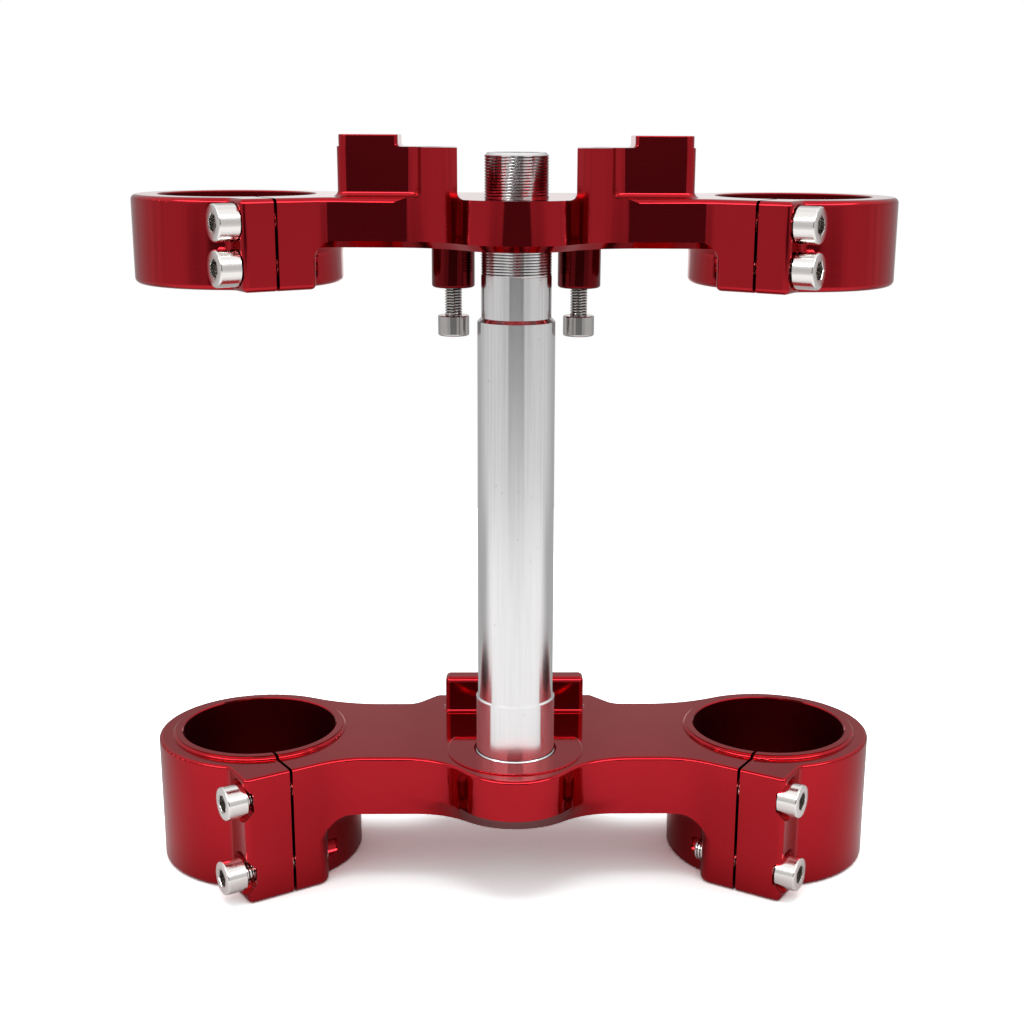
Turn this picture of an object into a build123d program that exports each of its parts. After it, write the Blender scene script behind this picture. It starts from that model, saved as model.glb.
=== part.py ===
from build123d import *
import os
from math import asin, cos, radians, sin, sqrt, tan

# A motorcycle triple clamp: two milled aluminium clamps on a hollow steering stem.
# Millimetres. The stem axis is Z, and z = 0 is the top face of the lower clamp.
# The pinch bolts face -Y, towards the rider, and the fork legs stand at +X and -X.
# In each split ear, t runs along the pinch bolts and s runs out from the fork axis.

# Fork geometry, shared by both clamps
fork_spacing = 204.0
fork_offset = 22.0
ear_angle = 32.0
slit_width = 1.2
ear_edge_radius = 2.0
ear_root_radius = 3.0
bore_chamfer = 0.5
edge_break = 0.4

# Lower clamp: rings round the fork legs
lower_bore_radius = 30.0
lower_ring_radius = 39.4
lower_ring_height = 50.5
lower_lip_radius = 33.0
lower_lip_height = 1.6
lower_lip_fillet = 1.2
lower_edge_fillet = 1.3
lower_bottom_fillet = 1.9

# Lower clamp: split ears
lower_ear_reach = 45.5
lower_ear_head_end = 26.0
lower_ear_thread_end = 9.0
lower_slit_place = 7.3
lower_ear_corner = 6.0
lower_notch_fillet = 5.0
lower_bolt_reach = 39.6
lower_bolt_depth = 9.9
lower_bolt_spacing = 29.8
lower_seat_depth = 3.3
lower_tapped_end = 15.0

# Lower clamp: web, nose in front of the stem and tail behind it
lower_web_thickness = 23.3
lower_web_front = 9.0
lower_web_back = 49.8
lower_web_blend = 30.0
lower_back_blend = 60.0
lower_gusset_radius = 9.0
nose_reach = 32.0
nose_radius = 23.5
nose_blend = 30.0
nose_depth = 16.0
keel_reach = 22.8
keel_radius = 28.5
tail_reach = 60.2
tail_half_width = 32.5
tail_base_half_width = 41.5
tail_corner = 3.0
tail_blend = 7.0
disc_radius = 26.3
disc_height = 0.6
disc_edge_fillet = 0.5
stem_gap_radius = 16.0
stem_gap_depth = 3.0

# Lower clamp: steering stop block behind the stem
stop_half_width = 28.3
stop_front = 40.0
stop_depth = 8.5
stop_height = 14.7
stop_corner = 2.0
stop_base_fillet = 1.2

# Upper clamp: rings
upper_top_height = 209.0
upper_bore_radius = 28.5
upper_ring_radius = 37.9
upper_ring_height = 31.5
upper_edge_fillet = 2.0
upper_bottom_fillet = 1.9

# Upper clamp: split ears
upper_ear_reach = 45.2
upper_ear_head_end = 17.5
upper_ear_thread_end = 10.0
upper_slit_place = 5.0
upper_ear_corner = 2.0
upper_notch_fillet = 3.5
upper_bolt_reach = 38.2
upper_bolt_depth = 8.0
upper_bolt_spacing = 15.3
upper_seat_depth = 0.4
upper_tapped_end = 15.0

# Upper clamp: web
upper_web_thickness = 17.2
upper_web_front = 9.0
upper_web_back = 42.0
upper_web_blend = 12.0
upper_back_blend = 40.0
upper_gusset_radius = 6.3
upper_web_chamfer = 2.3
stem_recess_depth = 6.0

# Upper clamp: handlebar towers, each a set-back block joined to a post in line with the nose
tower_inner = 19.7
tower_inner_back = 22.6
tower_outer = 63.2
tower_front = 1.0
tower_back = 22.0
tower_height = 17.1
tower_corner = 4.0
tower_base_fillet = 2.2
post_outer = 33.0
post_blend = 6.0
edge_run_out = 38.6
pad_inner = 41.6
pad_height = 4.1
pad_inset = 0.7
pad_corner = 1.5
pad_foot_fillet = 1.2
tower_hole_radius = 4.0
tower_hole_depth = 22.0

# Upper clamp: screw bosses under the web
boss_radius = 7.8
boss_length = 15.0
boss_spacing = 45.6
boss_offset = 8.0
boss_fillet = 1.0
boss_hole_depth = 18.0

# Steering stem
collar_radius = 15.0
collar_height = 22.9
collar_chamfer = 0.6
collar_undercut = 0.6
stem_bottom_radius = 14.35
stem_top_radius = 14.15
shoulder_height = 166.9
shoulder_chamfer = 1.3
bearing_seat_radius = 12.7
lower_thread_radius = 12.65
lower_thread_start = 181.8
stem_neck_radius = 10.8
upper_thread_radius = 11.45
stem_height = 224.4
stem_top_chamfer = 1.0
stem_bore_radius = 8.5
press_clearance = 0.02
stem_clearance = 0.15

# Pinch bolts
bolt_radius = 4.0
bolt_head_radius = 6.5
bolt_head_height = 8.0
bolt_head_fillet = 0.7
bolt_socket_size = 6.0
bolt_socket_depth = 4.0
bolt_hole_radius = 4.5
bolt_seat_radius = 6.8
seat_flare_radius = 9.2
seat_flare_depth = 4.6
thread_clearance = 0.05
lower_bolt_length = 34.5
upper_bolt_length = 26.0

# How far each pinch bolt stands out of its spot-face, top one first, as in the photograph
left_lower_backouts = [2.0, 3.6]
right_lower_backouts = [0.2, 0.8]
left_upper_backouts = [0.2, 0.4]
right_upper_backouts = [0.7, 1.0]

# Screws in the bosses under the upper clamp
screw_radius = 3.1
screw_head_radius = 5.7
screw_head_height = 7.4
screw_length = 24.0
screw_grip = 13.9
screw_socket_size = 5.0
screw_socket_depth = 3.5

slope = radians(ear_angle)
fork_x = fork_spacing / 2
upper_ring_bottom = upper_top_height - upper_ring_height
upper_web_bottom = upper_top_height - upper_web_thickness
stem_step_height = upper_web_bottom + stem_recess_depth
boss_bottom = upper_web_bottom - boss_length
lower_seat_end = lower_ear_head_end - lower_seat_depth
upper_seat_end = upper_ear_head_end - upper_seat_depth
lower_bolt_depths = [-lower_bolt_depth, -lower_bolt_depth - lower_bolt_spacing]
upper_first_bolt = upper_top_height - upper_bolt_depth
upper_bolt_depths = [upper_first_bolt, upper_first_bolt - upper_bolt_spacing]
ear_along = Vector(-cos(slope), sin(slope), 0)
ear_out = Vector(-sin(slope), -cos(slope), 0)
fork_axis = Vector(fork_x, fork_offset, 0)
BOTTOM = (Align.CENTER, Align.CENTER, Align.MIN)


def ear_point(t, s, z=0.0):
    # A point given along the right-hand pinch bolts and out from the fork axis
    return fork_axis + ear_along * t + ear_out * s + Vector(0, 0, z)


def ear_place(z):
    return Location(Plane(origin=ear_point(0, 0, z), x_dir=ear_along, z_dir=(0, 0, 1)))


def both_sides(shape):
    # The right half is modelled, and the left half is its mirror image
    return shape + mirror(shape, about=Plane.YZ)


def round_corner(outline, x, y, radius):
    # Rounds the corner of a flat outline that lies at a worked-out point
    plate = extrude(outline, 1)
    uprights = plate.edges().filter_by(Axis.Z)
    corner = min(uprights, key=lambda e: (e.center().X - x) ** 2 + (e.center().Y - y) ** 2)
    rounded = fillet(corner, radius)
    return Sketch() + Pos(0, 0, -1) * rounded.faces().sort_by(Axis.Z)[-1]


def ear_outline(ring_radius, reach, head_end, thread_end, corner, notch):
    # Ring and ear seen from above, in the ear's own directions
    middle = (thread_end - head_end) / 2
    outline = Circle(ring_radius) + Pos(middle, reach / 2) * Rectangle(head_end + thread_end, reach)
    outline = round_corner(outline, thread_end, reach, corner)
    outline = round_corner(outline, -head_end, reach, ear_edge_radius)
    outline = round_corner(outline, -head_end, sqrt(ring_radius**2 - head_end**2), notch)
    return round_corner(outline, thread_end, sqrt(ring_radius**2 - thread_end**2), ear_root_radius)


def web_outline(ring_radius, reach, front, back, front_blend, back_blend):
    # Right half of a web, out to a full disc at the fork axis
    start = ear_point(0, reach)
    inside = ear_point(0, reach / 2)
    bend_x = start.X - (-front - start.Y) / tan(slope)
    points = [(0, -front), (bend_x, -front), (start.X, start.Y), (inside.X, inside.Y)]
    points += [(fork_x, fork_offset), (fork_x, back), (0, back)]
    outline = Sketch() + make_face(Polyline(*points, close=True))
    outline = round_corner(outline, bend_x, -front, front_blend)
    outline += Pos(fork_x, fork_offset) * Circle(ring_radius)
    join_x = fork_x - sqrt(ring_radius**2 - (back - fork_offset) ** 2)
    return round_corner(outline, join_x, back, back_blend)


def nose_outline(front, reach, radius, blend):
    # Rounded nose round the stem, run into the straight front by two hollow arcs
    centre_y = radius - reach
    drop = centre_y + front + blend
    side_x = sqrt((radius + blend) ** 2 - drop**2)
    touch_x = side_x * radius / (radius + blend)
    touch_y = centre_y - drop * radius / (radius + blend)
    half_turn = asin(side_x / (radius + blend)) / 2
    mid_x = side_x - blend * sin(half_turn)
    mid_y = -front - blend + blend * cos(half_turn)
    lines = [
        ThreePointArc((side_x, -front), (mid_x, mid_y), (touch_x, touch_y)),
        ThreePointArc((touch_x, touch_y), (0, -reach), (-touch_x, touch_y)),
        ThreePointArc((-touch_x, touch_y), (-mid_x, mid_y), (-side_x, -front)),
        Polyline((-side_x, -front), (-side_x, 0), (side_x, 0), (side_x, -front)),
    ]
    return Sketch() + make_face(lines)


def tail_outline():
    # Block behind the stem of the lower clamp, wider where it meets the web
    points = [(-tail_base_half_width, lower_web_back), (-tail_half_width, tail_reach)]
    points += [(tail_half_width, tail_reach), (tail_base_half_width, lower_web_back)]
    points += [(tail_base_half_width, fork_offset), (-tail_base_half_width, fork_offset)]
    return Sketch() + make_face(Polyline(*points, close=True))


def slab(outline, bottom, top):
    return Pos(0, 0, bottom) * extrude(outline, top - bottom)


def edges_at(solid, z):
    # Edges that lie whole at one height
    return solid.edges().filter_by_position(Axis.Z, z - 0.001, z + 0.001)


def gusset(centre, radius, roundness, under):
    # Hollow rounding under a web, where it meets an upright round wall
    lowest = under - roundness
    arc = RadiusArc((radius, lowest), (radius + roundness, under), roundness)
    rest = Polyline((radius + roundness, under), (0, under), (0, lowest), (radius, lowest))
    return Pos(centre.X, centre.Y) * revolve(Plane.XZ * make_face([arc, rest]), Axis.Z)


def pinch_cuts(bolt_reach, depths, seat_end, slit_place, tapped_end, bottom, top):
    # Slit, flared spot-faces, clear holes and tapped holes of the right-hand ear
    middle = (top + bottom) / 2
    slit = Pos(-slit_place, fork_spacing / 4, 0) * Box(slit_width, fork_spacing / 2, 2 * (top - bottom))
    cuts = ear_place(middle) * slit
    spot_face = Cylinder(bolt_seat_radius, fork_spacing / 4, align=BOTTOM)
    spot_face += Cone(bolt_seat_radius, seat_flare_radius, seat_flare_depth, align=BOTTOM)
    clear_hole = Cylinder(bolt_hole_radius, fork_spacing / 4, align=BOTTOM)
    tapped_hole = Cylinder(bolt_radius + thread_clearance, slit_place + tapped_end, align=BOTTOM)
    for depth in depths:
        split = ear_point(-slit_place, bolt_reach, depth)
        cuts += Plane(origin=ear_point(-seat_end, bolt_reach, depth), z_dir=-ear_along) * spot_face
        cuts += Plane(origin=split, z_dir=-ear_along) * clear_hole
        cuts += Plane(origin=split, z_dir=ear_along) * tapped_hole
    return cuts


def bore_cut(radius, bottom, top):
    # Fork bore with a small chamfer at each rim
    rim = Cone(radius, radius + 2 * bore_chamfer, 2 * bore_chamfer, align=BOTTOM)
    cut = Pos(0, 0, bottom - bore_chamfer) * Cylinder(radius, top - bottom + 2 * bore_chamfer, align=BOTTOM)
    cut += Pos(0, 0, top - bore_chamfer) * rim
    cut += Pos(0, 0, bottom + bore_chamfer) * Rot(180, 0, 0) * rim
    return Pos(fork_x, fork_offset) * cut


def ring_lip(radius, height, roundness):
    # Raised lip round a fork bore, with a hollow rounding at its foot
    arc = RadiusArc((radius, roundness), (radius + roundness, 0), roundness)
    rest = Polyline((radius + roundness, 0), (0, 0), (0, height), (radius, height), (radius, roundness))
    return Pos(fork_x, fork_offset) * revolve(Plane.XZ * make_face([arc, rest]), Axis.Z)


def stop_block():
    # Raised block behind the stem, with its upright and top edges rounded
    block = Pos(0, stop_front + stop_depth / 2) * Rectangle(2 * stop_half_width, stop_depth)
    block = slab(block, -1, stop_height)
    return fillet(block.edges().filter_by(Axis.Z) + edges_at(block, stop_height), stop_corner)


def lower_plan():
    # Web and tail of the lower clamp, seen from above
    web = web_outline(
        lower_ring_radius, lower_ear_reach, lower_web_front, lower_web_back,
        lower_web_blend, lower_back_blend,
    )
    plan = both_sides(web) + tail_outline()
    for side in (-1, 1):
        plan = round_corner(plan, side * tail_base_half_width, lower_web_back, tail_blend)
        plan = round_corner(plan, side * tail_half_width, tail_reach, tail_corner)
    return plan


def build_lower_clamp():
    ears = ear_outline(
        lower_ring_radius, lower_ear_reach, lower_ear_head_end, lower_ear_thread_end,
        lower_ear_corner, lower_notch_fillet,
    )
    ears = both_sides(ear_place(0) * ears)
    plan = lower_plan()
    nose = nose_outline(lower_web_front, nose_reach, nose_radius, nose_blend)
    keel = nose_outline(lower_web_front, keel_reach, keel_radius, nose_blend)

    top_layer = slab(plan + ears + nose, -nose_depth, 0)
    top_layer = fillet(edges_at(top_layer, 0), lower_edge_fillet)
    rings = slab(ears, -lower_ring_height, -nose_depth)
    rings = fillet(edges_at(rings, -lower_ring_height), lower_bottom_fillet)
    taper = loft([Pos(0, 0, -nose_depth) * nose.face(), Pos(0, 0, -lower_web_thickness) * keel.face()])
    body = top_layer + rings + slab(plan, -lower_web_thickness, -nose_depth) + taper

    # Hollow roundings under the web, round each ring and round the inner corner of each ear
    corner_place = ear_point(lower_ear_thread_end - lower_ear_corner, lower_ear_reach - lower_ear_corner)
    gussets = gusset(fork_axis, lower_ring_radius, lower_gusset_radius, -lower_web_thickness)
    gussets += gusset(corner_place, lower_ear_corner, lower_gusset_radius, -lower_web_thickness)
    body += both_sides(gussets) & slab(plan, -lower_ring_height, -lower_web_thickness)

    # The block stands on the top face with a hollow rounding at its foot
    block = stop_block()
    body += block
    foot = [e for e in edges_at(body, 0) if block.distance_to(e.center()) < 0.01]
    body = fillet(foot, stop_base_fillet)

    body += both_sides(ring_lip(lower_lip_radius, lower_lip_height, lower_lip_fillet))
    disc = Pos(0, 0, -1) * Cylinder(disc_radius, disc_height + 1, align=BOTTOM)
    body += fillet(edges_at(disc, disc_height), disc_edge_fillet)
    cuts = bore_cut(lower_bore_radius, -lower_ring_height, lower_lip_height)
    cuts += pinch_cuts(
        lower_bolt_reach, lower_bolt_depths, lower_seat_end,
        lower_slit_place, lower_tapped_end, -lower_ring_height, 0,
    )
    body -= both_sides(cuts)
    body -= Cylinder(collar_radius + press_clearance, 4 * lower_web_thickness)
    return body - Pos(0, 0, -stem_gap_depth) * Cylinder(stem_gap_radius, 2 * stem_gap_depth, align=BOTTOM)


def tower_outline():
    # Right-hand handlebar tower from above: a set-back block, and a post in line with the nose
    depth = tower_back + tower_front
    block = Pos((tower_inner + tower_outer) / 2, (tower_back - tower_front) / 2)
    block = block * Rectangle(tower_outer - tower_inner, depth)
    front = nose_outline(upper_web_front, nose_reach, nose_radius, nose_blend)
    front += Pos(0, -upper_web_front / 2) * Rectangle(2 * tower_outer, upper_web_front)
    post = Pos((tower_inner + post_outer) / 2, -nose_reach / 2)
    outline = block + (front & post * Rectangle(post_outer - tower_inner, nose_reach))
    # The gap between the two towers widens towards the back
    gap = [(0, -nose_reach), (tower_inner, -nose_reach), (tower_inner_back, tower_back), (0, tower_back)]
    outline -= make_face(Polyline(*gap, close=True))
    outline = round_corner(outline, post_outer, -tower_front, post_blend)
    for x, y in ((tower_outer, -tower_front), (tower_outer, tower_back), (tower_inner_back, tower_back)):
        outline = round_corner(outline, x, y, tower_corner)
    return outline


def tower():
    # Right-hand handlebar tower: a low seat beside the post, and a raised pad on its outer side
    seat = upper_top_height + tower_height
    solid = slab(tower_outline(), upper_top_height - 1, seat)
    depth = tower_back + tower_front
    pad = Pos((pad_inner + tower_outer - pad_inset) / 2, (tower_back - tower_front) / 2)
    pad = pad * Rectangle(tower_outer - pad_inset - pad_inner, depth)
    for y in (-tower_front, tower_back):
        pad = round_corner(pad, tower_outer - pad_inset, y, tower_corner - pad_inset)
        pad = round_corner(pad, pad_inner, y, pad_corner)
    pad = slab(pad, seat, seat + pad_height)
    solid += fillet(edges_at(pad, seat + pad_height), edge_break)
    foot = [e for e in edges_at(solid, seat) if abs(e.center().X - pad_inner) < edge_break]
    return fillet(foot, pad_foot_fillet)


def edge_run_outs(start, end):
    # Wedges of metal that are cut off where the rounded front edge runs out beside each post
    low = upper_top_height - upper_edge_fillet
    points = [(end, upper_top_height), (start, low), (start + 1, low)]
    points += [(start + 1, upper_top_height + 1), (end, upper_top_height + 1)]
    wedge = extrude(Plane.XZ * make_face(Polyline(*points, close=True)), nose_reach)
    return both_sides(Pos(0, upper_edge_fillet - upper_web_front, 0) * wedge)


def build_upper_clamp():
    ears = ear_outline(
        upper_ring_radius, upper_ear_reach, upper_ear_head_end, upper_ear_thread_end,
        upper_ear_corner, upper_notch_fillet,
    )
    ears = both_sides(ear_place(0) * ears)
    web = web_outline(
        upper_ring_radius, upper_ear_reach, upper_web_front, upper_web_back,
        upper_web_blend, upper_back_blend,
    )
    plan = both_sides(web)
    nose = nose_outline(upper_web_front, nose_reach, nose_radius, nose_blend)
    middle = (upper_top_height + upper_web_bottom) / 2
    wings = slab(plan + ears, middle, upper_top_height)
    wings = fillet(edges_at(wings, upper_top_height), upper_edge_fillet)
    centre = slab(plan + nose, upper_web_bottom, middle)
    centre = chamfer(edges_at(centre, upper_web_bottom), upper_web_chamfer)
    rings = slab(ears, upper_ring_bottom, middle)
    rings = fillet(edges_at(rings, upper_ring_bottom), upper_bottom_fillet)
    # The nose keeps a sharp top edge, into which the rounded edges of the wings run out
    sharp_nose = slab(nose, middle, upper_top_height)
    sharp_nose -= edge_run_outs(sharp_nose.bounding_box().max.X, edge_run_out)
    body = wings + centre + rings + sharp_nose

    towers = both_sides(tower())
    body += towers
    feet = [e for e in edges_at(body, upper_top_height) if towers.distance_to(e.center()) < 0.01]
    body = fillet(feet, tower_base_fillet)

    # These roundings start at the top of the web's chamfer and fill it beside each ear
    under = upper_web_bottom + upper_web_chamfer
    corner_place = ear_point(upper_ear_thread_end - upper_ear_corner, upper_ear_reach - upper_ear_corner)
    gussets = gusset(fork_axis, upper_ring_radius, upper_gusset_radius, under)
    gussets += gusset(corner_place, upper_ear_corner, upper_gusset_radius, under)
    body += both_sides(gussets) & slab(plan, upper_ring_bottom, under)
    boss = Cylinder(boss_radius, boss_length + 1, align=BOTTOM)
    boss = fillet(edges_at(boss, 0), boss_fillet)
    body += both_sides(Pos(boss_spacing / 2, boss_offset, boss_bottom) * boss)

    cuts = bore_cut(upper_bore_radius, upper_ring_bottom, upper_top_height)
    cuts += pinch_cuts(
        upper_bolt_reach, upper_bolt_depths, upper_seat_end,
        upper_slit_place, upper_tapped_end, upper_ring_bottom, upper_top_height,
    )
    hole = Cylinder(tower_hole_radius, tower_hole_depth + 1, align=BOTTOM)
    hole_place = Pos((tower_inner + pad_inner) / 2, (tower_back - tower_front) / 2)
    cuts += hole_place * Pos(0, 0, upper_top_height + tower_height - tower_hole_depth) * hole
    drill = Cylinder(screw_radius + thread_clearance, boss_hole_depth + 1, align=BOTTOM)
    cuts += Pos(boss_spacing / 2, boss_offset, boss_bottom - 1) * drill
    body -= both_sides(cuts)
    body -= Pos(0, 0, middle) * Cylinder(upper_thread_radius + stem_clearance, 4 * upper_web_thickness)
    recess = Cylinder(bearing_seat_radius + stem_clearance, 2 * stem_recess_depth)
    return body - Pos(0, 0, upper_web_bottom) * recess


def build_stem():
    # Turned tube: a collar pressed into the lower clamp, a long body, a bearing seat and two threads
    undercut_radius = collar_radius - collar_undercut
    points = [
        (stem_bore_radius, -lower_web_thickness),
        (collar_radius, -lower_web_thickness),
        (collar_radius, -stem_gap_depth),
        (undercut_radius, -stem_gap_depth),
        (undercut_radius, disc_height - collar_undercut),
        (collar_radius, disc_height),
        (collar_radius, collar_height - collar_chamfer),
        (collar_radius - collar_chamfer, collar_height),
        (stem_bottom_radius, collar_height),
        (stem_top_radius, shoulder_height - shoulder_chamfer),
        (stem_top_radius - shoulder_chamfer, shoulder_height),
        (bearing_seat_radius, shoulder_height),
        (bearing_seat_radius, lower_thread_start),
        (lower_thread_radius, lower_thread_start),
        (lower_thread_radius, stem_step_height),
        (stem_neck_radius, stem_step_height),
        (stem_neck_radius, upper_top_height),
        (upper_thread_radius, upper_top_height),
        (upper_thread_radius, stem_height - stem_top_chamfer),
        (upper_thread_radius - stem_top_chamfer, stem_height),
        (stem_bore_radius, stem_height),
    ]
    return revolve(Plane.XZ * make_face(Polyline(*points, close=True)), Axis.Z)


def socket_screw(shank_radius, shank_length, head_radius, head_height, socket_size, socket_depth):
    # Socket-head screw along Z: the head stands above z = 0 and the shank hangs below
    head = Cylinder(head_radius, head_height, align=BOTTOM)
    head = fillet(edges_at(head, head_height), bolt_head_fillet)
    shank = Cylinder(shank_radius, shank_length, align=(Align.CENTER, Align.CENTER, Align.MAX))
    shank = chamfer(edges_at(shank, -shank_length), shank_radius / 5)
    socket = extrude(RegularPolygon(socket_size / sqrt(3), 6), socket_depth + 1)
    return head + shank - Pos(0, 0, head_height - socket_depth) * socket


def pinch_bolts(clamp, reach, depths, seat_end, length, left_backouts, right_backouts):
    # The four bolts of one clamp, by name
    bolt = socket_screw(
        bolt_radius, length, bolt_head_radius, bolt_head_height, bolt_socket_size, bolt_socket_depth,
    )
    bolts = {}
    for level, depth, left, right in zip(("top", "bottom"), depths, left_backouts, right_backouts):
        for side, backout in (("left", left), ("right", right)):
            under_head = ear_point(-seat_end - backout, reach, depth)
            placed = Plane(origin=under_head, z_dir=-ear_along) * bolt
            if side == "left":
                placed = mirror(placed, about=Plane.YZ)
            bolts[f"{clamp}_pinch_bolt_{side}_{level}"] = placed
    return bolts


def boss_screws():
    # Screws in the bosses under the upper clamp, heads down, by name
    screw = socket_screw(
        screw_radius, screw_length, screw_head_radius, screw_head_height,
        screw_socket_size, screw_socket_depth,
    )
    under_head = boss_bottom + screw_grip - screw_length
    placed = Pos(boss_spacing / 2, boss_offset, under_head) * Rot(180, 0, 0) * screw
    return {"boss_screw_right": placed, "boss_screw_left": mirror(placed, about=Plane.YZ)}


pieces = {
    "lower_clamp": build_lower_clamp(),
    "upper_clamp": build_upper_clamp(),
    "steering_stem": build_stem(),
    **pinch_bolts(
        "lower", lower_bolt_reach, lower_bolt_depths, lower_seat_end, lower_bolt_length,
        left_lower_backouts, right_lower_backouts,
    ),
    **pinch_bolts(
        "upper", upper_bolt_reach, upper_bolt_depths, upper_seat_end, upper_bolt_length,
        left_upper_backouts, right_upper_backouts,
    ),
    **boss_screws(),
}
os.makedirs("parts", exist_ok=True)
for name, piece in pieces.items():
    export_step(piece, f"parts/{name}.step")
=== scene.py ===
from math import cos, pi, radians, sin, tau

import bmesh
import bpy
from mathutils import Matrix, Vector


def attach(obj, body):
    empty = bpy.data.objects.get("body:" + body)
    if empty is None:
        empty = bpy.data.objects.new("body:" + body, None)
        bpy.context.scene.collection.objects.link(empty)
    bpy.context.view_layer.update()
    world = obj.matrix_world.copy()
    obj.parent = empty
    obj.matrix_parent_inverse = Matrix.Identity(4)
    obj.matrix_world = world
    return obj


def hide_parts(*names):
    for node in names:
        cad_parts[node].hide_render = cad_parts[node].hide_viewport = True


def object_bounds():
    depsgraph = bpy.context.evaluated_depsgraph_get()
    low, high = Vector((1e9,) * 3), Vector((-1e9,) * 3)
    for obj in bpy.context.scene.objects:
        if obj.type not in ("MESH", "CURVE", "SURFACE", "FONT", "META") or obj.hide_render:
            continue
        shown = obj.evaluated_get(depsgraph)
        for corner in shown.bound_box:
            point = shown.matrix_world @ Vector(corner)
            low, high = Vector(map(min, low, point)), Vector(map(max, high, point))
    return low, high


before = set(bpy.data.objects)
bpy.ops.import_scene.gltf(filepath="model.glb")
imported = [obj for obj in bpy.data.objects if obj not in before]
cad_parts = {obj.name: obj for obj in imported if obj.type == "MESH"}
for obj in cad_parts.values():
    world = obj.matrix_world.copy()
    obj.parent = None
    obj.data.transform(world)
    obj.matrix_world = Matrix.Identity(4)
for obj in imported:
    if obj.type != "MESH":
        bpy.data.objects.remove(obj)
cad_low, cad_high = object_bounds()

# Point of view
# The part stands on its lower rings and is seen from the rider's side, a little above the
# upper clamp. The lens and the viewpoint are worked out from the photograph's perspective.
MM = 0.001
photo_width = 1024
focal_pixels = 1546.1
centre_pixels = (532.8, 547.8)
eye = Vector((6.4, -558.9, 232.5)) * MM
pitch, yaw, roll = radians(15.18), radians(1.13), radians(0.33)

camera = bpy.data.cameras.new("photo_camera")
camera.sensor_width = 36
camera.lens = camera.sensor_width * focal_pixels / photo_width
camera.shift_x = (photo_width / 2 - centre_pixels[0]) / photo_width
camera.shift_y = (centre_pixels[1] - photo_width / 2) / photo_width
camera.clip_start = 10 * MM
camera_object = bpy.data.objects.new("photo_camera", camera)
turn = Matrix.Rotation(-yaw, 4, "Z")
tilt = Matrix.Rotation(pi / 2 - pitch, 4, "X") @ Matrix.Rotation(roll, 4, "Z")
camera_object.matrix_world = turn @ Matrix.Translation(eye) @ tilt
bpy.context.collection.objects.link(camera_object)
bpy.context.scene.camera = camera_object
bpy.context.scene.view_settings.view_transform = "Standard"


# Studio room
# The eye sees plain white. Polished metal sees a pale floor and ceiling, a dark wall behind the
# camera, grey side walls, a dull back wall with a white screen, and a strip lamp over the camera.
def node(tree, kind, links=None, **settings):
    """Adds a node, with its settings, and its inputs by name or number: values or sockets."""
    made = tree.nodes.new(kind)
    for key, value in settings.items():
        setattr(made, key, value)
    for key, value in (links or {}).items():
        if isinstance(value, bpy.types.NodeSocket):
            tree.links.new(value, made.inputs[key])
        else:
            made.inputs[key].default_value = value
    return made


world = bpy.data.worlds.new("studio_room")
world.use_nodes = True
bpy.context.scene.world = world
room = world.node_tree
room.nodes.clear()
ray = node(room, "ShaderNodeTexCoord").outputs["Generated"]
ray_x, ray_y, ray_z = node(room, "ShaderNodeSeparateXYZ", {0: ray}).outputs
aside = node(room, "ShaderNodeMath", {0: ray_x}, operation="ABSOLUTE").outputs[0]
ahead = node(room, "ShaderNodeMath", {0: ray_y, 1: -1.0}, operation="MULTIPLY").outputs[0]
heading = node(room, "ShaderNodeMath", {0: aside, 1: ahead}, operation="ARCTAN2").outputs[0]
height = node(room, "ShaderNodeMath", {0: ray_z}, operation="ARCSINE").outputs[0]
half_turns = node(room, "ShaderNodeMath",
                  {0: height, 1: 1 / pi, 2: 0.5}, operation="MULTIPLY_ADD").outputs[0]

# Levels of each wall by degrees above the horizon, and the headings over which it takes over from
# the wall before it. A heading of 0 looks at the wall behind the camera, and 180 at the back wall
behind_camera = {-90: 0.90, -15: 0.84, -11: 0.55, -8: 0.24, -5: 0.11, -2: 0.11, 3: 0.17, 10: 0.13,
                 20: 0.08, 34: 1.1, 90: 1.1}
beside_camera = {-90: 0.90, -20: 0.85, -9: 0.65, -5: 0.34, -3: 0.42, -1: 0.55, 3: 0.65, 12: 0.60,
                 34: 1.1, 90: 1.1}
side_wall = {-90: 0.90, -20: 0.80, -4: 0.60, 12: 0.57, 34: 1.1, 90: 1.1}
far_side_wall = {-90: 0.50, -10: 0.44, 10: 0.42, 40: 0.80, 90: 1.1}
back_wall = {-90: 0.50, -8: 0.92, 7: 0.92, 16: 0.45, 32: 0.45, 60: 1.1, 90: 1.1}
walls = [(behind_camera, None), (beside_camera, (22.5, 24.0)), (side_wall, (40.0, 56.0)),
         (far_side_wall, (95.0, 140.0)), (back_wall, (162.0, 168.0))]
glossy_level = None
for levels, headings in walls:
    ramp = node(room, "ShaderNodeValToRGB", {0: half_turns})
    points = ramp.color_ramp.elements
    for degrees, level in levels.items():
        point = points.new(degrees / 180 + 0.5)
        point.color = (level, level, level, 1.0)
    points.remove(points[0])
    points.remove(points[len(points) - 1])
    if headings is None:
        glossy_level = ramp.outputs[0]
        continue
    blend = node(room, "ShaderNodeMapRange",
                 {"Value": heading, "From Min": radians(headings[0]), "From Max": radians(headings[1])},
                 interpolation_type="SMOOTHSTEP").outputs["Result"]
    glossy_level = node(room, "ShaderNodeMix",
                        {"Factor": blend, "A": glossy_level, "B": ramp.outputs[0]},
                        data_type="RGBA").outputs["Result"]

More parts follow.
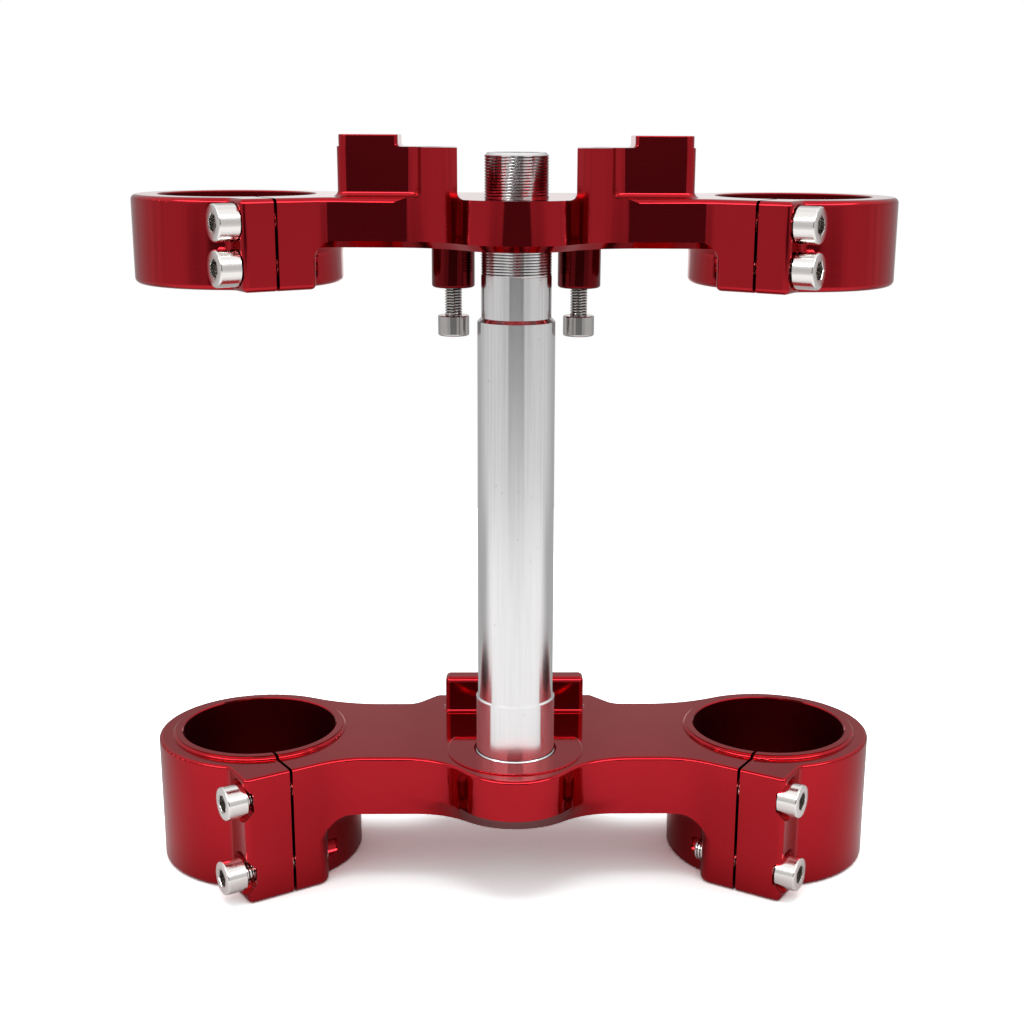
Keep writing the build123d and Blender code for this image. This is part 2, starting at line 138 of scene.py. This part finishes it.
# Faint upright folds run all round the walls
folds_per_radian = 9.0
folds = node(room, "ShaderNodeTexNoise",
             {"W": heading, "Scale": folds_per_radian, "Detail": 2.0}, noise_dimensions="1D").outputs[0]
folds = node(room, "ShaderNodeMapRange",
             {"Value": folds, "From Min": 0.3, "From Max": 0.7, "To Min": 0.92, "To Max": 1.08}
             ).outputs["Result"]
glossy_level = node(room, "ShaderNodeMath", {0: glossy_level, 1: folds}, operation="MULTIPLY").outputs[0]

# The strip lamp fades out at its lower edge, its upper edge and its ends, in degrees. Only polished
# metal sees it, and not by way of the table, so it casts no spots of light
strip_level = 7.0
strip_edges = [(height, 31.0, 33.0), (height, 42.0, 40.0), (heading, 80.0, 60.0)]
paths = node(room, "ShaderNodeLightPath").outputs
strip = node(room, "ShaderNodeMath", {0: paths["Diffuse Depth"], 1: 0.5}, operation="LESS_THAN").outputs[0]
for value, dark, lit in strip_edges:
    edge = node(room, "ShaderNodeMapRange",
                {"Value": value, "From Min": radians(dark), "From Max": radians(lit)},
                interpolation_type="SMOOTHSTEP").outputs["Result"]
    strip = node(room, "ShaderNodeMath", {0: strip, 1: edge}, operation="MULTIPLY").outputs[0]
glossy_level = node(room, "ShaderNodeMath",
                    {0: strip, 1: strip_level, 2: glossy_level}, operation="MULTIPLY_ADD").outputs[0]

# Dull surfaces are lit by an even grey room, and white stands behind what the eye sees
open_level = 0.62
level = node(room, "ShaderNodeMix",
             {"Factor": paths["Is Glossy Ray"], "A": open_level, "B": glossy_level},
             data_type="FLOAT").outputs["Result"]
seen = node(room, "ShaderNodeMath",
            {0: paths["Is Camera Ray"], 1: paths["Is Transmission Ray"]}, operation="MAXIMUM").outputs[0]
level = node(room, "ShaderNodeMix",
             {"Factor": seen, "A": level, "B": 1.0}, data_type="FLOAT").outputs["Result"]
background = node(room, "ShaderNodeBackground", {"Strength": level, "Color": (1, 1, 1, 1)})
node(room, "ShaderNodeOutputWorld", {"Surface": background.outputs[0]})

# Soft lamp overhead, which adds to the shadow on the table
lamp = bpy.data.lights.new("overhead_lamp", "SUN")
lamp.energy = 1.35
lamp.angle = radians(50)
lamp_object = bpy.data.objects.new("overhead_lamp", lamp)
lamp_object.matrix_world = Matrix.Rotation(radians(-8), 4, "X")
lamp_object.visible_glossy = False
bpy.context.collection.objects.link(lamp_object)

# White table
# A round painted top that the part stands on. The eye sees it white, with a soft grey shadow, and
# polished metal sees it brighter before the part than behind it, where less light falls: shade painted into
# its colour.
table_radius = 600 * MM
table_sides = 96
rim = [(table_radius * cos(tau * i / table_sides), table_radius * sin(tau * i / table_sides), cad_low.z)
       for i in range(table_sides)]
table_mesh = bpy.data.meshes.new("table")
table_mesh.from_pydata(rim, [], [tuple(range(table_sides))])
table = bpy.data.objects.new("table", table_mesh)
bpy.context.collection.objects.link(table)

# White paint. To the eye it runs into the white background, and it has a little less red than
# green and blue, because the part throws red light on it
eye_white = (2.1, 2.3, 2.3, 1.0)
full_white = (1.0, 1.0, 1.0, 1.0)
bright_until, dim_from = -120 * MM, 150 * MM
table_paint = bpy.data.materials.new("white_table_paint")
table_paint.use_nodes = True
tree = table_paint.node_tree
tree.nodes.clear()
paths = node(tree, "ShaderNodeLightPath").outputs
place = node(tree, "ShaderNodeTexCoord").outputs["Object"]
depth = node(tree, "ShaderNodeSeparateXYZ", {0: place}).outputs[1]
# Painted shade: to polished metal the table's white falls from full before the part to 0.42 behind it
painted_shade_to_back = node(tree, "ShaderNodeMapRange",
            {"Value": depth, "From Min": bright_until, "From Max": dim_from,
             "To Min": 1.00, "To Max": 0.42},
            interpolation_type="SMOOTHSTEP").outputs["Result"]
white = node(tree, "ShaderNodeMix",
             {"Factor": paths["Is Glossy Ray"], "A": full_white, "B": painted_shade_to_back},
             data_type="RGBA").outputs["Result"]
white = node(tree, "ShaderNodeMix",
             {"Factor": paths["Is Camera Ray"], "A": white, "B": eye_white},
             data_type="RGBA").outputs["Result"]
paint = node(tree, "ShaderNodeBsdfDiffuse", {"Color": white})
node(tree, "ShaderNodeOutputMaterial", {"Surface": paint.outputs[0]})
table_mesh.materials.append(table_paint)


# Upper and lower clamps
# Each is milled from one block of aluminium alloy, polished, and anodised with a red dye. The four
# fork bores are bored out, and each ring is split at its ear so that bolts can pull it shut.
def linear(hex_colour):
    """An sRGB hex colour as linear RGBA."""
    parts = [int(hex_colour[i:i + 2], 16) / 255 for i in (1, 3, 5)]
    return [p / 12.92 if p <= 0.04045 else ((p + 0.055) / 1.055) ** 2.4 for p in parts] + [1.0]


# Red anodised aluminium: a deep red mirror with faint lines along the walls, where the cutter ran.
# Its real lines are under 0.1 mm apart, and are drawn further apart here so that they show
cutter_step, ripple_step, line_length = 0.4 * MM, 0.25 * MM, 200 * MM
cloud_size = 28.6 * MM
anodised = bpy.data.materials.new("anodised_aluminium_red")
anodised.use_nodes = True
tree = anodised.node_tree
shader = tree.nodes["Principled BSDF"]
shader.inputs["Metallic"].default_value = 1.0
shader.inputs["Coat Weight"].default_value = 0.06
shader.inputs["Coat Roughness"].default_value = 0.08
shader.inputs["Coat IOR"].default_value = 1.6
place = node(tree, "ShaderNodeTexCoord").outputs["Object"]
stretched = node(tree, "ShaderNodeMapping",
                 {"Vector": place, "Scale": (1 / line_length, 1 / line_length, 1 / cutter_step)}).outputs[0]
cutter_lines = node(tree, "ShaderNodeTexNoise",
                    {"Vector": stretched, "Scale": 1.0, "Detail": 2.0}).outputs[0]
cloud = node(tree, "ShaderNodeTexNoise",
             {"Vector": place, "Scale": 1 / cloud_size, "Detail": 3.0}).outputs[0]
tone = node(tree, "ShaderNodeMix",
            {"Factor": cloud, "A": linear("#AB1D26"), "B": linear("#B7212B")},
            data_type="RGBA").outputs["Result"]

# The two bosses hang under the upper clamp's web, on both sides of the stem
boss_reach, web_underside, between_clamps = 35 * MM, 191.75 * MM, 100 * MM
place_x, place_y, place_z = node(tree, "ShaderNodeSeparateXYZ", {0: place}).outputs
from_middle = node(tree, "ShaderNodeMath", {0: place_x}, operation="ABSOLUTE").outputs[0]
near = node(tree, "ShaderNodeMath", {0: from_middle, 1: boss_reach}, operation="LESS_THAN").outputs[0]
below = node(tree, "ShaderNodeMath", {0: place_z, 1: web_underside}, operation="LESS_THAN").outputs[0]
above = node(tree, "ShaderNodeMath", {0: place_z, 1: between_clamps}, operation="GREATER_THAN").outputs[0]
boss = node(tree, "ShaderNodeMath", {0: near, 1: below}, operation="MULTIPLY").outputs[0]
boss = node(tree, "ShaderNodeMath", {0: boss, 1: above}, operation="MULTIPLY").outputs[0]

# Radii just over those of the fork bores, which are wider in the lower clamp than in the upper one
fork_x, fork_y = 102.0, 22.0
lower_bore, upper_bore = 30.1, 28.6
across = node(tree, "ShaderNodeMath", {0: from_middle, 1: fork_x * MM}, operation="SUBTRACT").outputs[0]
along = node(tree, "ShaderNodeMath", {0: place_y, 1: fork_y * MM}, operation="SUBTRACT").outputs[0]
from_fork = node(tree, "ShaderNodeCombineXYZ", {0: across, 1: along}).outputs[0]
from_fork = node(tree, "ShaderNodeVectorMath", {0: from_fork}, operation="LENGTH").outputs["Value"]
bore_edge = node(tree, "ShaderNodeMath",
                 {0: above, 1: (upper_bore - lower_bore) * MM, 2: lower_bore * MM},
                 operation="MULTIPLY_ADD").outputs[0]
bored = node(tree, "ShaderNodeMath", {0: from_fork, 1: bore_edge}, operation="LESS_THAN").outputs[0]

# Bosses, which hang under the web, and the bores are painted a darker red as shade, and the boring bar left
# the bores dull
dark = node(tree, "ShaderNodeMath", {0: boss, 1: bored}, operation="MAXIMUM").outputs[0]
tone = node(tree, "ShaderNodeMix",
            {"Factor": dark, "A": tone, "B": linear("#6E0E14")}, data_type="RGBA").outputs["Result"]
tree.links.new(tone, shader.inputs["Base Color"])
haze = node(tree, "ShaderNodeMapRange",
            {"Value": cutter_lines, "From Min": 0.3, "From Max": 0.7, "To Min": 0.06, "To Max": 0.12}
            ).outputs["Result"]
haze = node(tree, "ShaderNodeMix",
            {"Factor": bored, "A": haze, "B": 0.42}, data_type="FLOAT").outputs["Result"]
tree.links.new(haze, shader.inputs["Roughness"])
stretched = node(tree, "ShaderNodeMapping",
                 {"Vector": place, "Scale": (1 / line_length, 1 / line_length, 1 / ripple_step)}).outputs[0]
ripples = node(tree, "ShaderNodeTexNoise", {"Vector": stretched, "Scale": 1.0, "Detail": 1.0}).outputs[0]
bumpy = node(tree, "ShaderNodeBump",
             {"Height": ripples, "Strength": 0.15, "Distance": 0.02 * MM}).outputs[0]
tree.links.new(bumpy, shader.inputs["Normal"])

# A flat keeps its own direction right up to the roundings that meet it, so both are lit truly.
# Where no flat over wide_flat, in mm2, meets a corner, its facets count by their corner angles
merge_within = 0.0005 * MM
level_above = cos(radians(0.5))
smooth_above = cos(radians(28))
wide_flat = 10.0
for name in ("lower_clamp", "upper_clamp"):
    block = bmesh.new()
    block.from_mesh(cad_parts[name].data)
    bmesh.ops.remove_doubles(block, verts=block.verts, dist=merge_within)
    flat_areas = {}
    for face in block.faces:
        if face in flat_areas:
            continue
        flat, rest = {face: face.calc_area()}, [face]
        while rest:
            for edge in rest.pop().edges:
                for other in edge.link_faces:
                    if other not in flat and other.normal.dot(face.normal) > level_above:
                        flat[other] = other.calc_area()
                        rest.append(other)
        flat_areas.update(dict.fromkeys(flat, sum(flat.values()) / MM ** 2))
    directions = []
    for face in block.faces:
        for corner in face.loops:
            meeting = [other for other in corner.vert.link_loops
                       if other.face.normal.dot(face.normal) > smooth_above]
            by_area = max(flat_areas[other.face] for other in meeting) > wide_flat
            direction = Vector()
            for other in meeting:
                weight = flat_areas[other.face] ** 2 if by_area else other.calc_angle()
                direction += other.face.normal * weight
            directions.append(direction.normalized())
    mesh = bpy.data.meshes.new(name + "_finish")
    block.to_mesh(mesh)
    block.free()
    mesh.shade_smooth()
    mesh.normals_split_custom_set(directions)
    mesh.materials.clear()
    mesh.materials.append(anodised)
    clamp = bpy.data.objects.new(name + "_finish", mesh)
    bpy.context.collection.objects.link(clamp)
    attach(clamp, "root")
    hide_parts(name)


# Steering stem
# A tube turned from aluminium bar, left bare, and pressed into the lower clamp up to its collar.
# Two fine threads take the bearing nut and the stem nut, and bearings and tools have left pits.
def turned(name, rows, sides, pitch):
    """Mesh turned round the Z axis from rows of radius, height, thread depth and flats, in mm."""
    work = bmesh.new()
    socket_wear_and_shade = work.verts.layers.float.new("socket_wear_and_shade")
    grime_and_shade = work.verts.layers.float.new("grime_and_shade")
    rings = []
    for radius, height_up, groove, flats in rows:
        ring = []
        for i in range(sides):
            angle = tau * i / sides
            root = max(0.0, cos(tau * height_up / pitch - angle)) if groove else 0.0
            reach = radius - groove * root ** 1.5
            if flats:
                reach = radius / cos((angle + pi / flats) % (tau / flats) - pi / flats)
            vert = work.verts.new(Vector((reach * cos(angle), reach * sin(angle), height_up)) * MM)
            # Scuffs and painted shade: the sockets are marked for darker patches
            vert[socket_wear_and_shade] = 1.0 if flats else 0.0
            # Grime and painted shade: darker towards each thread's root
            vert[grime_and_shade] = root ** 2
            ring.append(vert)
        rings.append(ring)
    for ring, above in zip(rings, rings[1:]):
        for i in range(sides):
            j = (i + 1) % sides
            work.faces.new((ring[i], ring[j], above[j], above[i]))
    bmesh.ops.remove_doubles(work, verts=work.verts, dist=0.002 * MM)
    bmesh.ops.recalc_face_normals(work, faces=work.faces)
    mesh = bpy.data.meshes.new(name)
    work.to_mesh(mesh)
    work.free()
    mesh.shade_smooth()
    mesh.set_sharp_from_angle(angle=radians(30))
    return mesh


def plain_rows(outline):
    """Rows of a stretch with no thread and no flats, from its outline of radius and height."""
    return [(radius, height_up, 0, 0) for radius, height_up in outline]


def thread_rows(radius, start, end, pitch, groove, fade):
    """Rows of a thread between two heights, which runs out over a short length at each end."""
    per_pitch = 8
    count = round((end - start) / pitch * per_pitch)
    rows = []
    for i in range(count + 1):
        height_up = start + (end - start) * i / count
        full = min(1.0, (height_up - start) / fade, (end - height_up) / fade)
        rows.append((radius, height_up, groove * full, 0))
    return rows


# From the foot, in the lower clamp, to the top. The bearing nut's thread comes first, then a neck
# inside the upper clamp's nose, and then the stem nut's thread
stem_sides = 120
stem_pitch, stem_groove = 1.0, 0.42
bore, foot, top = 8.5, -23.3, 224.4
nut_start, nut_end, neck_end, top_end = 181.8, 197.8, 209.0, 223.4
press_fit = [(bore, foot), (15.0, foot), (15.0, -3.0), (14.4, -3.0), (14.4, 0.0)]
collar = [(15.3, 0.0), (15.3, 0.4), (15.0, 0.8), (15.0, 22.3), (14.4, 22.9)]
shank = [(14.35, 22.9), (14.15, 165.6), (12.85, 166.9)]
upper_seat = [(12.7, 166.9), (12.7, nut_start)]
rows = plain_rows(press_fit + collar + shank + upper_seat)
rows += thread_rows(12.65, nut_start, nut_end, stem_pitch, stem_groove, fade=0.6)
rows += plain_rows([(10.8, nut_end), (10.8, neck_end)])
rows += thread_rows(11.45, neck_end, top_end, stem_pitch, stem_groove, fade=0.3)
rows += plain_rows([(10.45, top), (bore, top), (bore, foot)])

# Bare turned aluminium: bright, with grime and painted shade in the thread roots. Its fine turning lines
# are too small to show, so the shader's anisotropy stands for them and draws reflections out along the tube
bare = bpy.data.materials.new("turned_aluminium")
bare.use_nodes = True
tree = bare.node_tree
shader = tree.nodes["Principled BSDF"]
shader.inputs["Metallic"].default_value = 1.0
shader.inputs["Roughness"].default_value = 0.16
shader.inputs["Anisotropic"].default_value = 0.8
shader.inputs["Anisotropic Rotation"].default_value = 0.25
round_tube = node(tree, "ShaderNodeTangent", direction_type="RADIAL", axis="Z").outputs[0]
tree.links.new(round_tube, shader.inputs["Tangent"])
place = node(tree, "ShaderNodeTexCoord").outputs["Object"]
scuff_width, scuff_length, stain_size = 0.9 * MM, 40 * MM, 11.1 * MM
drawn_out = node(tree, "ShaderNodeMapping",
                 {"Vector": place, "Scale": (1 / scuff_width, 1 / scuff_width, 1 / scuff_length)}
                 ).outputs[0]
scuffs = node(tree, "ShaderNodeTexNoise", {"Vector": drawn_out, "Scale": 1.0, "Detail": 3.0}).outputs[0]
stains = node(tree, "ShaderNodeTexNoise",
              {"Vector": place, "Scale": 1 / stain_size, "Detail": 4.0}).outputs[0]
tone = node(tree, "ShaderNodeMix",
            {"Factor": scuffs, "A": linear("#E2E1E2"), "B": linear("#F4F3F3")},
            data_type="RGBA").outputs["Result"]

# Pits are up to half a millimetre across. The pattern has one cell per spacing, and a share of the
# cells have a pit, whose core and edge are given as parts of the spacing
pit_spacing, pit_core, pit_edge, pitted_share = 2.6 * MM, 0.05, 0.09, 0.30
pits = node(tree, "ShaderNodeTexVoronoi", {"Vector": place, "Scale": 1 / pit_spacing}).outputs
pit = node(tree, "ShaderNodeMapRange",
           {"Value": pits["Distance"], "From Min": pit_core, "From Max": pit_edge,
            "To Min": 1.0, "To Max": 0.0}).outputs["Result"]
chosen = node(tree, "ShaderNodeSeparateColor", {0: pits["Color"]}).outputs[0]
chosen = node(tree, "ShaderNodeMath", {0: chosen, 1: pitted_share}, operation="LESS_THAN").outputs[0]
pit = node(tree, "ShaderNodeMath", {0: pit, 1: chosen}, operation="MULTIPLY").outputs[0]
tone = node(tree, "ShaderNodeMix",
            {"Factor": pit, "A": tone, "B": linear("#8F8D8C")}, data_type="RGBA").outputs["Result"]
thread_roots = node(tree, "ShaderNodeAttribute", attribute_name="grime_and_shade").outputs["Fac"]
tone = node(tree, "ShaderNodeMix",
            {"Factor": thread_roots, "A": tone, "B": linear("#4A4240")}, data_type="RGBA").outputs["Result"]
tree.links.new(tone, shader.inputs["Base Color"])
relief = node(tree, "ShaderNodeMath", {0: pit, 1: -0.6, 2: stains}, operation="MULTIPLY_ADD").outputs[0]
bumpy = node(tree, "ShaderNodeBump", {"Height": relief, "Strength": 0.25, "Distance": 0.05 * MM}).outputs[0]
tree.links.new(bumpy, shader.inputs["Normal"])

stem_mesh = turned("steering_stem_finish", rows, stem_sides, stem_pitch)
stem_mesh.materials.append(bare)
stem = bpy.data.objects.new("steering_stem_finish", stem_mesh)
bpy.context.collection.objects.link(stem)
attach(stem, "root")
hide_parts("steering_stem")


# Pinch bolts
# Eight M8 socket head bolts, forged from stainless steel and polished, pull the split rings shut.
# Two stand out of each ear. Their hexagon sockets are scuffed bright and dark by the key, and painted
# darker inside as shade.
def socket_screw(name, shank_radius, length, pitch, head_radius, head_height, socket_size, socket_depth):
    """Mesh of one socket head screw: the head stands above z = 0 and the shank hangs below."""
    screw_sides = 48
    tip = 0.2 * shank_radius
    edge, chamfer, rounding, steps = 0.3, 0.25, 0.7, 4
    socket = socket_size / 2
    socket_floor = head_height - socket_depth
    drill_point = 0.3 * socket
    rows = plain_rows([(0, -length), (shank_radius - tip, -length)])
    rows += thread_rows(shank_radius, tip - length, -edge, pitch, 0.6 * pitch, fade=0.5)
    rows += plain_rows([(shank_radius, 0), (head_radius - edge, 0), (head_radius, edge)])
    # One more row, 0.2 mm below the rounding, keeps the head's wall smooth and straight
    rows += plain_rows([(head_radius, head_height - rounding - 0.2)])
    for i in range(steps + 1):
        angle = pi / 2 * i / steps
        up = head_height - rounding + rounding * sin(angle)
        rows += plain_rows([(head_radius - rounding + rounding * cos(angle), up)])
    rows += [(1.35 * socket, head_height, 0, 0), (1.06 * socket, head_height, 0, 6)]
    rows += [(socket, head_height - chamfer, 0, 6), (socket, socket_floor, 0, 6)]
    rows += plain_rows([(0, socket_floor - drill_point)])
    return turned(name, rows, screw_sides, pitch)


# The layout sets one screw on each point, along the point's aim, with its socket turned at random
layout = bpy.data.node_groups.new("screw_layout", "GeometryNodeTree")
layout.interface.new_socket("Screw Places", in_out="INPUT", socket_type="NodeSocketGeometry")
identifiers = {}
input_kinds = {"Screw": "NodeSocketObject", "Turn Seed": "NodeSocketInt", "Finish": "NodeSocketMaterial"}
for label, kind in input_kinds.items():
    identifiers[label] = layout.interface.new_socket(label, in_out="INPUT", socket_type=kind).identifier
layout.interface.new_socket("Screws", in_out="OUTPUT", socket_type="NodeSocketGeometry")
given = node(layout, "NodeGroupInput").outputs
aim = node(layout, "GeometryNodeInputNamedAttribute", {"Name": "aim"}, data_type="FLOAT_VECTOR")
aimed = node(layout, "FunctionNodeAlignRotationToVector",
             {"Vector": aim.outputs["Attribute"]}, axis="Z").outputs[0]
spin = node(layout, "FunctionNodeRandomValue", {"Seed": given["Turn Seed"]}, data_type="FLOAT")
spin = node(layout, "ShaderNodeMath",
            {0: spin.outputs["Value"], 1: tau / 6}, operation="MULTIPLY").outputs[0]
spin = node(layout, "FunctionNodeAxisAngleToRotation", {"Axis": (0, 0, 1), "Angle": spin}).outputs[0]
aimed = node(layout, "FunctionNodeRotateRotation",
             {"Rotation": aimed, "Rotate By": spin}, rotation_space="LOCAL").outputs[0]
screw_shape = node(layout, "GeometryNodeObjectInfo", {"Object": given["Screw"]}).outputs["Geometry"]
placed = node(layout, "GeometryNodeInstanceOnPoints",
              {"Points": given["Screw Places"], "Instance": screw_shape, "Rotation": aimed}).outputs[0]
placed = node(layout, "GeometryNodeRealizeInstances", {"Geometry": placed}).outputs[0]
placed = node(layout, "GeometryNodeSetMaterial",
              {"Geometry": placed, "Material": given["Finish"]}).outputs[0]
node(layout, "NodeGroupOutput", {0: placed})


def lay_out_screws(name, screw_mesh, places, seed, finish, replaced):
    """Sets a screw on each place, a point and an aim in mm, as one plain mesh."""
    screw = bpy.data.objects.new(name + "_screw", screw_mesh)
    bpy.context.collection.objects.link(screw)
    points = bpy.data.meshes.new(name)
    points.from_pydata([Vector(point) * MM for point, aim_way in places], [], [])
    aims = points.attributes.new("aim", "FLOAT_VECTOR", "POINT")
    for i, (point, aim_way) in enumerate(places):
        aims.data[i].vector = aim_way
    screws = bpy.data.objects.new(name, points)
    bpy.context.collection.objects.link(screws)
    modifier = screws.modifiers.new("layout", "NODES")
    modifier.node_group = layout
    modifier[identifiers["Screw"]] = screw
    modifier[identifiers["Turn Seed"]] = seed
    modifier[identifiers["Finish"]] = finish
    evaluated = screws.evaluated_get(bpy.context.evaluated_depsgraph_get())
    finished = bpy.data.meshes.new_from_object(evaluated)
    screws.modifiers.clear()
    screws.data = finished
    bpy.data.objects.remove(screw)
    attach(screws, "root")
    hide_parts(*replaced)
    return screws


# Polished stainless steel: bright and faintly scratched, with dark scuffs and painted shade in the sockets
scratch_size = 0.7 * MM
stainless = bpy.data.materials.new("polished_stainless_steel")
stainless.use_nodes = True
tree = stainless.node_tree
shader = tree.nodes["Principled BSDF"]
shader.inputs["Metallic"].default_value = 1.0
place = node(tree, "ShaderNodeTexCoord").outputs["Object"]
scratches = node(tree, "ShaderNodeTexNoise",
                 {"Vector": place, "Scale": 1 / scratch_size, "Detail": 3.0, "Distortion": 1.5}).outputs[0]
socket_wear_and_shade = node(tree, "ShaderNodeAttribute", attribute_name="socket_wear_and_shade").outputs["Fac"]
marks = node(tree, "ShaderNodeMapRange",
             {"Value": scratches, "From Min": 0.42, "From Max": 0.60}).outputs["Result"]
scuffs_and_shade = node(tree, "ShaderNodeMath", {0: marks, 1: socket_wear_and_shade}, operation="MULTIPLY").outputs[0]
# Scuffs and painted shade: darker patches inside the sockets
tone = node(tree, "ShaderNodeMix",
            {"Factor": scuffs_and_shade, "A": linear("#EFEBE8"), "B": linear("#6E6862")},
            data_type="RGBA").outputs["Result"]
# Grime and painted shade: the thread roots are darker
thread_roots = node(tree, "ShaderNodeAttribute", attribute_name="grime_and_shade").outputs["Fac"]
tone = node(tree, "ShaderNodeMix",
            {"Factor": thread_roots, "A": tone, "B": linear("#2A2220")}, data_type="RGBA").outputs["Result"]
tree.links.new(tone, shader.inputs["Base Color"])
dull = node(tree, "ShaderNodeMapRange",
            {"Value": scuffs_and_shade, "To Min": 0.14, "To Max": 0.35}).outputs["Result"]
tree.links.new(dull, shader.inputs["Roughness"])
bumpy = node(tree, "ShaderNodeBump",
             {"Height": scratches, "Strength": 0.12, "Distance": 0.1 * MM}).outputs[0]
tree.links.new(bumpy, shader.inputs["Normal"])

# A pair's place: its reach out from the fork's axis, and how far back from the slit its heads seat.
# Each bolt stands off that seat by a gap of its own, given from the top down
fork_axis = Vector((fork_x, fork_y, 0.0))
ear_angle = radians(32.0)
ear_along = Vector((-cos(ear_angle), sin(ear_angle), 0.0))
ear_out = Vector((-sin(ear_angle), -cos(ear_angle), 0.0))
clamp_bolts = {
    "lower": {"reach": 39.6, "seat": 22.7, "length": 34.5, "heights": (-9.9, -39.7),
              "left": (2.0, 3.6), "right": (0.2, 0.8)},
    "upper": {"reach": 38.2, "seat": 17.1, "length": 26.0, "heights": (201.0, 185.7),
              "left": (0.2, 0.4), "right": (0.7, 1.0)},
}
for seed, (clamp_name, bolts) in enumerate(clamp_bolts.items()):
    places = []
    names = []
    for side, mirror in (("left", -1), ("right", 1)):
        for row, height_up, gap in zip(("top", "bottom"), bolts["heights"], bolts[side]):
            point = fork_axis - ear_along * (bolts["seat"] + gap) + ear_out * bolts["reach"]
            aim_way = (-ear_along.x * mirror, -ear_along.y, 0)
            places.append(((point.x * mirror, point.y, height_up), aim_way))
            names.append(f"{clamp_name}_pinch_bolt_{side}_{row}")
    mesh = socket_screw(clamp_name + "_pinch_bolt", shank_radius=4.0, length=bolts["length"], pitch=1.25,
                        head_radius=6.5, head_height=8.0, socket_size=6.0, socket_depth=4.0)
    bolts_object = lay_out_screws(clamp_name + "_pinch_bolts", mesh, places, seed, stainless, names)

# Boss screws
# Two M6 socket head screws of zinc plated steel stand head down in the bosses under the towers.
# They are half screwed in, so their threads show.
boss_x, boss_y, under_head = 22.8, 8.0, 166.7

# Zinc plated steel: a slightly cloudy mirror, of a darker grey than the bolts
film_size = 3.85 * MM
plated = bpy.data.materials.new("zinc_plated_steel")
plated.use_nodes = True
tree = plated.node_tree
shader = tree.nodes["Principled BSDF"]
shader.inputs["Metallic"].default_value = 1.0
shader.inputs["Roughness"].default_value = 0.12
place = node(tree, "ShaderNodeTexCoord").outputs["Object"]
film = node(tree, "ShaderNodeTexNoise", {"Vector": place, "Scale": 1 / film_size, "Detail": 3.0}).outputs[0]
tone = node(tree, "ShaderNodeMix",
            {"Factor": film, "A": linear("#BAB7B4"), "B": linear("#CCC9C7")},
            data_type="RGBA").outputs["Result"]
# Grime and painted shade: the thread roots are darker
thread_roots = node(tree, "ShaderNodeAttribute", attribute_name="grime_and_shade").outputs["Fac"]
tone = node(tree, "ShaderNodeMix",
            {"Factor": thread_roots, "A": tone, "B": linear("#3A3634")}, data_type="RGBA").outputs["Result"]
tree.links.new(tone, shader.inputs["Base Color"])

mesh = socket_screw("boss_screw", shank_radius=3.1, length=24.0, pitch=1.0,
                    head_radius=5.7, head_height=7.4, socket_size=5.0, socket_depth=3.5)
places = [((side * boss_x, boss_y, under_head), (0, 0, -1)) for side in (-1, 1)]
screws = lay_out_screws("boss_screws", mesh, places, seed=5, finish=plated,
                        replaced=["boss_screw_left", "boss_screw_right"])
